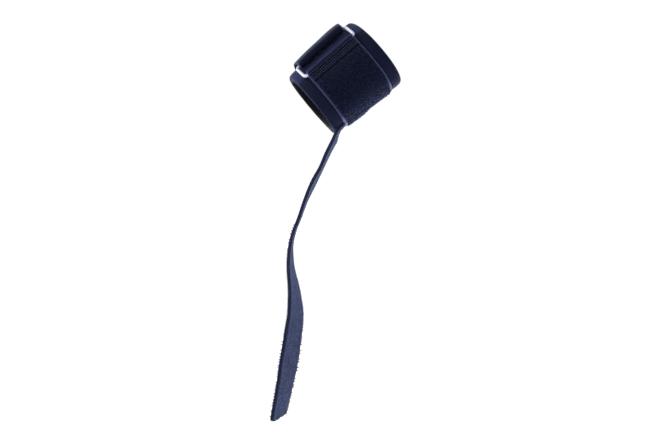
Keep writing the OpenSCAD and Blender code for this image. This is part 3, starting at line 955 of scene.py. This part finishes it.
# Bight and flap: round the far leg, over the back and down the little finger side
FLAP_H = BAND_T + TAPE_T + PILE_T + 1.4
nrm = np.array([math.sin(math.radians(CORNER)), math.cos(math.radians(CORNER))])
corner_at = np.array([SIDE_C, -HALF_T]) + (SIDE_R + FLAP_H) * nrm
d = np.array(AXIS_FAR) - corner_at
FLAP_R = (d @ d - LEG_R**2) / (-2 * (nrm @ d + LEG_R))
flap_c = corner_at - FLAP_R * nrm
lead = math.degrees(math.atan2(AXIS_FAR[0] - flap_c[0], AXIS_FAR[1] - flap_c[1]))
a = np.radians(np.linspace(lead + 3, CORNER, 60))
h_flap = 1.15
over_r = FLAP_R + h_flap
over_back = np.stack([HALF_T + flap_c[1] + over_r * np.cos(a), -(flap_c[0] + over_r * np.sin(a))], -1)
side_run = oval_run(360 - CORNER, FLAP_END, FLAP_H + h_flap)[1:]
bight = leg_arc(*AXIS_FAR, BIGHT_R, 262, 90 - lead + 4)
flap_line = Path(smoothed(np.concatenate([bight, over_back, side_run]), 3), 0.55, out=1)
face_out(flap_line, -5)
BIGHT_L = math.radians(262 - 90 + lead) * BIGHT_R


def flap_lift(s, v, h, i):
    free = smooth((s - BIGHT_L) / 6)
    crown = 1.3 * (1 - np.abs(v / TAPE_X) ** 3) + 1.1 * smooth(v / TAPE_X)
    crown = crown * smooth((s - BIGHT_L + 7) / 7) * (1 - smooth((s - BIGHT_L - 14) / 16))
    return crown + free * 0.16 * ripple(s / 26, v / 34, 61, 2) + 0.07 * (np.abs(v) > 23) * waves(s, 3.0)


def flap_narrow(s, v, h, i):
    near = 1 - smooth((s - BIGHT_L - 0.5) / 5)
    end = smooth((s - flap_line.length + 2.5) / 2.5)
    return v * ((RING_FREE + 1.1) / TAPE_X - 1) * near - v * 0.05 * end**2


# Painted shade: the bight's lower half round the far leg, its first 4.6 mm, is darkened to a fifth in the
# crease under the fold
M["flap"] = make_ground("flap_ground", GROUND, 0.3, stretches=[(-2, 4.6, 0.2, 0.8)])
FLAP_T = 0.65
flap_loop = flat_loop(TAPE_X, -FLAP_T, FLAP_T, 0.6, 1.4, 0.5)
flap = sweep("closing_flap_tape", flap_line, flap_loop, M["flap"], flap_lift, flap_narrow, ends=0.6)
under = Part(flap_line, BIGHT_L + 2.5, flap_line.length - 2.0, 0.6, -FLAP_T)


def under_lift(s, v, h, i):
    return flap_lift(s + under.off, v, h, i) + (h < -0.1) * 0.06 * ripple(s / 1.2, v / 1.2, 71, 3)


under_loop = flat_loop(PILE_X, -0.28, 0.1, 0.8, 2.4, 0.15)
flap_under = sweep("closing_flap_loops", under, under_loop, M["pile"], under_lift, ends=0.4)
blend_flap = (from_back((0, FAR_Y - 1.7, FAR_Z - 1.4)) * MM, from_back((0, FAR_Y + 1.15, FAR_Z + 0.97)) * MM)
for o, p, w in ((flap, flap_line, 0.05), (flap_under, under, 0.044)):
    tuple(blend_flap[0])
    tuple(blend_flap[1])
    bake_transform(o)
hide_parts("closing_flap", "strap_bight")
patch_s = (flap_line.length - 13.5, flap_line.length - 1.5)
HOOK_PITCH = 1.15


def hook_field(name, place, s0, s1, half, pitch, height):
    """Rows of small moulded hooks; place(s, v, h) gives world points in mm."""
    first = pitch / 2
    s, v = np.meshgrid(np.arange(s0 + first, s1, pitch), np.arange(-half + first, half, pitch), indexing="ij")
    s, v = s.ravel(), v.ravel()
    # One hook from its foot to its tip: how far it leans, how high it is and half its width
    line = [(0, 0.0, 0.20), (0, 0.45, 0.15), (0.1, 0.72, 0.13), (0.30, 0.85, 0.11), (0.48, 0.72, 0.07)]
    around = [(1, 1), (-1, 1), (-1, -1), (1, -1)]
    k, verts, cloth = len(s), [], []
    for dx, up, r in line:
        for sx, sy in around:
            lean = np.where((np.round(v / pitch).astype(int) % 2) == 0, 1, -1)
            verts.append(place(s + lean * (dx + sx * r * 0.6) * height, v + sy * r, np.full(k, up * height)))
            cloth.append(np.stack([s + dx, v, np.full(k, up)], -1))
    verts, cloth = np.stack(verts, 1).reshape(-1, 3), np.stack(cloth, 1).reshape(-1, 3)
    base = np.arange(k)[:, None] * 20
    faces = []
    for j in range(4):
        for x in range(4):
            a, b = j * 4 + x, j * 4 + (x + 1) % 4
            faces.append(base + np.array([a, b, b + 4, a + 4]))
    faces.append(base + np.array([3, 2, 1, 0]))
    faces.append(base + np.array([16, 17, 18, 19]))
    return mesh_of(name, verts, np.concatenate(faces), M["hook"], cloth)


patch_path = Part(flap_line, *patch_s, 0.8, -FLAP_T)
patch_fine = Part(flap_line, *patch_s, 0.1, -FLAP_T)


def patch_lift(s, v, h, i):
    return flap_lift(s + patch_path.off, v, h, i)


def on_patch(s, v, h):
    return patch_fine.place(nearest(patch_fine, s), v, -0.6 - h)


patch_loop = flat_loop(PILE_X - 0.4, -0.62, -0.1, 1.2, 1.2, 0.2)
patch = sweep("flap_hook_base", patch_path, patch_loop, M["hook"], patch_lift, ends=0.3)
patch_end = patch_path.length - 0.8
patch_hooks = hook_field("flap_hooks", on_patch, 0.8, patch_end, PILE_X - 1.4, HOOK_PITCH, 0.62)
for o in (patch, patch_hooks):
    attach(o, "flap")
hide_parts("flap_hook_patch")
rows = []
for r in (patch_s[0] + 1.0, patch_s[1] - 1.0):
    rows += row_across(flap_line, r, PILE_X - 1, 0.72, flap_lift)
for side in (-1, 1):
    rows += row_along(flap_line, patch_s[0] + 2.2, patch_s[1] - 2.6, side * (PILE_X - 1), 0.72, flap_lift)
flap_thread = threads("flap_patch_thread", rows, M["thread"])
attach(flap_thread, "flap")
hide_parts("flap_patch_stitches")

# ---- Hanging strap ----
WEB_X, WEB_H = 12.5, 0.8
EXIT_X, EXIT_H, ROOT_H = -27.6, 5.7, 4.35
strap_exit = to_world(np.r_[oval(np.array([ROOT_A]), np.array([EXIT_H + TAPER * EXIT_X]))[0], EXIT_X])
# The same places (x, z) below the exit, and turns in degrees, as in the part's source
ROUTE = np.array([
    [0, 0, 10], [-5, -6.5, 12], [-12, -19, 10], [-18.5, -33, 9], [-25.5, -47, 11],
    [-32, -61, 8], [-37, -75, 6], [-42.5, -89, 6], [-45, -101, 7], [-45.5, -113, 10],
    [-44.5, -125, 14], [-42.5, -137, 20], [-41.5, -149, 27], [-41, -160, 33], [-42, -171, 38],
    [-44, -185, 40], [-46.5, -202, 42], [-49.5, -219, 38], [-53, -236, 35], [-55, -245, 33],
    [-56, -251.5, 32],
], float)


def curve_through(points, n):
    """Catmull-Rom through the points, n steps a span."""
    p = np.vstack([2 * points[0] - points[1], points, 2 * points[-1] - points[-2]])
    t = np.linspace(0, 1, n, endpoint=False)[:, None]
    out = []
    for p0, p1, p2, p3 in zip(p, p[1:], p[2:], p[3:]):
        bend = (2 * p0 - 5 * p1 + 4 * p2 - p3) * t**2
        out.append(0.5 * (2 * p1 + (p2 - p0) * t + bend + (3 * p1 - p0 - 3 * p2 + p3) * t**3))
    return np.vstack([*out, points[-1:]])


class Hanging:
    """The strap's centreline from its root under the panel to its free end."""

    ROOT_L = 22.0

    def __init__(self, step):
        curve = curve_through(ROUTE, 24)
        xz = curve[:, :2]
        run = run_of(xz)
        self.free = float(run[-1])
        self.s = np.linspace(0, self.ROOT_L + self.free, int((self.ROOT_L + self.free) / step) + 1)
        self.length = float(self.s[-1])
        t = self.s - self.ROOT_L
        back = np.minimum(t, 0)
        f = np.clip(t, 0, self.free)
        x, z, w = (np.interp(f, run, curve[:, k]) for k in (0, 1, 2))
        d0 = (xz[1] - xz[0]) / np.linalg.norm(xz[1] - xz[0])
        c = np.stack([x + back * d0[0], x * 0, z + back * d0[1]], -1) + strap_exit
        al = unit(np.gradient(c, self.s, axis=0))
        n = unit(np.cross(al, (0, 1, 0)))
        w = np.radians(w)[:, None]
        y = np.array([[0, 1, 0]])
        self.c, self.face = c, np.cos(w) * n - np.sin(w) * y
        self.across = np.cos(w) * y + np.sin(w) * n
        self.along = al
        self.t = t

    def place(self, i, v, h):
        t = self.t[i]
        flat = self.c[i] + self.across[i] * v[:, None] + self.face[i] * h[:, None]
        x = EXIT_X - t
        rise = ROOT_H + (EXIT_H - ROOT_H) * smooth((t + 6) / 7)
        a = ROOT_A + np.degrees(v / (BIG_R + 4))
        hh = rise + h + TAPER * x
        o = to_world(np.concatenate([oval(a, hh), x[:, None]], -1))
        w = smooth((t + 3) / 17)[:, None]
        return o * (1 - w) + flat * w


def end_cut(v):
    """How far the free end is cut back across the width."""
    u = (v + WEB_X) / (2 * WEB_X)
    return 1.3 * smooth(u) + 0.35 * np.sin(u * 9) + 0.25 * np.sin(u * 31)


class Cut(Hanging):
    """The same strap with its free end cut on a slant."""

    def place(self, i, v, h):
        t = self.t[i]
        shift = end_cut(v) * smooth((t - self.free + 16) / 16)
        j = np.clip(i - shift / (self.s[1] - self.s[0]), 0, len(self.s) - 1)
        lo = np.floor(j).astype(int)
        hi = np.minimum(lo + 1, len(self.s) - 1)
        f = (j - lo)[:, None]
        return Hanging.place(self, lo, v, h) * (1 - f) + Hanging.place(self, hi, v, h) * f


HANG_STEP = 0.5
hang = Cut(HANG_STEP)


def nubs(s, v, h, i):
    """Small loops of thread that stand out along both edges."""
    edge = np.sign(v) * (np.abs(v) > 12.0)
    beat = np.clip(np.sin((s + np.where(v > 0, 0.9, 0)) * 2 * np.pi / 2.75), 0, 1) ** 2
    vary = 0.5 + 0.5 * ripple(s / 9, v * 0 + np.sign(v), 81, 3)
    down = 0.15 + 0.85 * smooth((s - 120) / 60)
    return edge * down * (0.5 * beat * np.clip(vary, 0.25, 1.4) + 0.2 * ripple(s / 3.1, v * 0, 83, 2))


def strap_wave(s, v, h, i):
    return 0.10 * ripple(s / 30, v / 20, 85, 2)


web_loop = flat_loop(WEB_X, -WEB_H, WEB_H, 0.7, 0.9, 0.6)
strap = sweep("hanging_strap_ground", hang, web_loop, M["webbing"], strap_wave, nubs, ends=0.5)

# Loops of thread along the far end's edges, and frayed ends of warp at the cut
rows = []
rng = np.random.default_rng(17)
for side in (-1, 1):
    for s in np.arange(Hanging.ROOT_L + 92, hang.length - 1.5, 2.55):
        i = np.array([int(np.abs(hang.s - s - rng.uniform(-0.35, 0.35)).argmin())])
        ends = ((11.6, 1.5), (12.5, -0.2)) if side > 0 else ((-11.6, -0.9), (-12.5, 0.4))
        p, q = (hang.place(i, np.array([v]), np.array([h]))[0] for v, h in ends)
        if rng.uniform() > 0.15:
            rows.append((p, q, side * hang.across[i[0]]))
for v in np.sort(rng.uniform(-12, 12, 22)):
    end = hang.place(np.array([len(hang.s) - 1]), np.array([v]), np.array([rng.uniform(-0.5, 0.9)]))[0]
    fray = hang.along[-1] * rng.uniform(0.5, 1.9) + hang.across[-1] * rng.uniform(-0.8, 0.8)
    rows.append((end - hang.along[-1] * 0.8, end + fray, hang.face[-1]))
picots = threads("hanging_strap_edge", rows, M["edge"], 0.55, 1.6)


class Layer(Cut):
    """The strap from s0 to its free end, moved off its middle by h."""

    def __init__(self, step, s0, h):
        super().__init__(step)
        keep = self.s >= s0
        for k in ("c", "face", "across", "along"):
            setattr(self, k, getattr(self, k)[keep])
        self.c = self.c + self.face * h
        self.t, self.s = self.t[keep], self.s[keep] - s0
        self.length = float(self.s[-1])


fleece_field = pile_field(1.3, 0.26, 91)
fuzz = Layer(HANG_STEP, Hanging.ROOT_L + 3, WEB_H)


def fuzz_lift(s, v, h, i):
    top = np.clip(h / 0.9, 0, 1)
    ridge = bell(np.abs(v) - 9.6, 0.7)
    return strap_wave(s + 25, v, h, i) + top * (fleece_field(s, v) + 0.22 * ridge)


def fuzz_edge(s, v, h, i):
    return 0.4 * np.sign(v) * (np.abs(v) > 11) * ripple(s / 2.4, v * 0 + np.sign(v), 93, 3)


fuzz_loop = flat_loop(11.4, -0.12, 0.95, 0.6, 2.4, 0.5)
fleece = sweep("hanging_strap_fleece", fuzz, fuzz_loop, M["fleece"], fuzz_lift, fuzz_edge, ends=0.7)

TAB_L = 52.0
tab_path = Layer(0.8, hang.length - TAB_L, -WEB_H)
tab_fine = Layer(0.1, hang.length - TAB_L, -WEB_H)
tab = sweep("strap_tab_base", tab_path, flat_loop(11.8, -0.45, 0.05, 1.2, 1.2, 0.2), M["hook"], ends=0.4)


def on_tab(s, v, h):
    return tab_fine.place(nearest(tab_fine, s), v, -0.42 - h)


tab_end = tab_path.length - 1.5
tab_hooks = hook_field("strap_tab_hooks", on_tab, 2.0, tab_end, 10.6, HOOK_PITCH, 0.68)
rows = []
for t in (1.2, tab_path.length - 1.4):
    for v in np.arange(-4, 5) * 2.4:
        i = np.array([np.abs(tab_path.s - t).argmin()])
        p, q = (tab_path.place(i, np.array([x]), np.array([-0.5]))[0] for x in (v - 0.85, v + 0.85))
        rows.append((p, q, -tab_path.face[i[0]]))
tab_thread = threads("strap_tab_thread", rows, M["thread"])
for o in (strap, fleece):
    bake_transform(o)
for o in (tab, tab_hooks, tab_thread, picots):
    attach(o, "strap")
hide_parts("hanging_strap", "strap_root")
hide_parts("hanging_strap_pile")
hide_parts("strap_hook_tab")
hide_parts("strap_tab_stitches")

# The root's bar tack: two rows of short bars across the root, under the panel
rows = []
for x in (-19.0, -13.0):
    for da in np.arange(-15, 16, 3.4):
        a = np.array([ROOT_A + da, ROOT_A + da + 2.2])
        hh = np.full(2, ROOT_H + 0.9 + TAPER * x)
        p = to_world(np.concatenate([oval(a, hh), np.full((2, 1), x)], -1))
        rows.append((p[0], p[1], p[0] - to_world(np.array([0, 0, x]))))
tack = threads("root_tack_thread", rows, M["thread"], arch=0.1)
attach(tack, "cuff")
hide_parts("root_bar_tack")

# ---- Floor ----
floor_me = bpy.data.meshes.new("floor")
edge, rings = 48, [0.0, 0.3, 0.8, 2, 5, 14]
compass = [(math.cos(2 * math.pi * k / edge), math.sin(2 * math.pi * k / edge)) for k in range(edge)]
verts = [(0, 0, 0)] + [(r * x, r * y, 0) for r in rings[1:] for x, y in compass]
faces = [(0, 1 + k, 1 + (k + 1) % edge) for k in range(edge)]
for j in range(len(rings) - 2):
    for k in range(edge):
        a, b = 1 + j * edge + k, 1 + j * edge + (k + 1) % edge
        faces.append((a, a + edge, b + edge, b))
floor_me.from_pydata(verts, [], faces)
floor = bpy.data.objects.new("floor", floor_me)
bpy.context.scene.collection.objects.link(floor)
floor.location = (0, 0, cad_box[0].z - 0.05)
fm = bpy.data.materials.new("floor")
fm.use_nodes = True
shader = fm.node_tree.nodes["Principled BSDF"]
for name, value in (
    ("Base Color", (0.94, 0.94, 0.94, 1)),
    ("Roughness", 1.0),
    ("Specular IOR Level", 0.0),
    ("Emission Color", (1, 0.98, 0.95, 1)),
    ("Emission Strength", 0.45),
):
    shader.inputs[name].default_value = value
floor_me.materials.append(fm)
